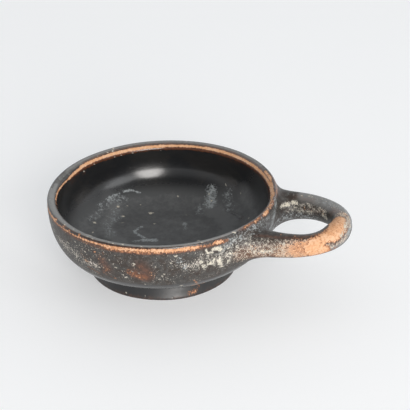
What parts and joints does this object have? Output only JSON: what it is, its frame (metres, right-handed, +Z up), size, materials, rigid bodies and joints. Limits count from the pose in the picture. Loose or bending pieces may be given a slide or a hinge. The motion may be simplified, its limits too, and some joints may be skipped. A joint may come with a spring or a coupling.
{
  "type": "one-handled dish",
  "caption": "Shallow fired-clay bowl on a low ring foot, with a horizontal loop handle; black gloss worn through to orange clay.",
  "frame": {"origin": "on the ground, under the middle of the dish's bounding box; the bowl's own axis is about 20 mm towards -X", "axes": "+Z up, out of the bowl's mouth; +X along the handle, away from the bowl; the dish is alike on its +Y and -Y sides"},
  "size_m": [0.1672, 0.125, 0.0467],
  "materials": {
    "black_gloss_clay": "black clay gloss, semi-shiny inside, worn and crusted outside, bare orange clay at the lip and on the handle"
  },
  "bodies": {
    "root": {"dish": "black_gloss_clay"}
  },
  "joints": []
}
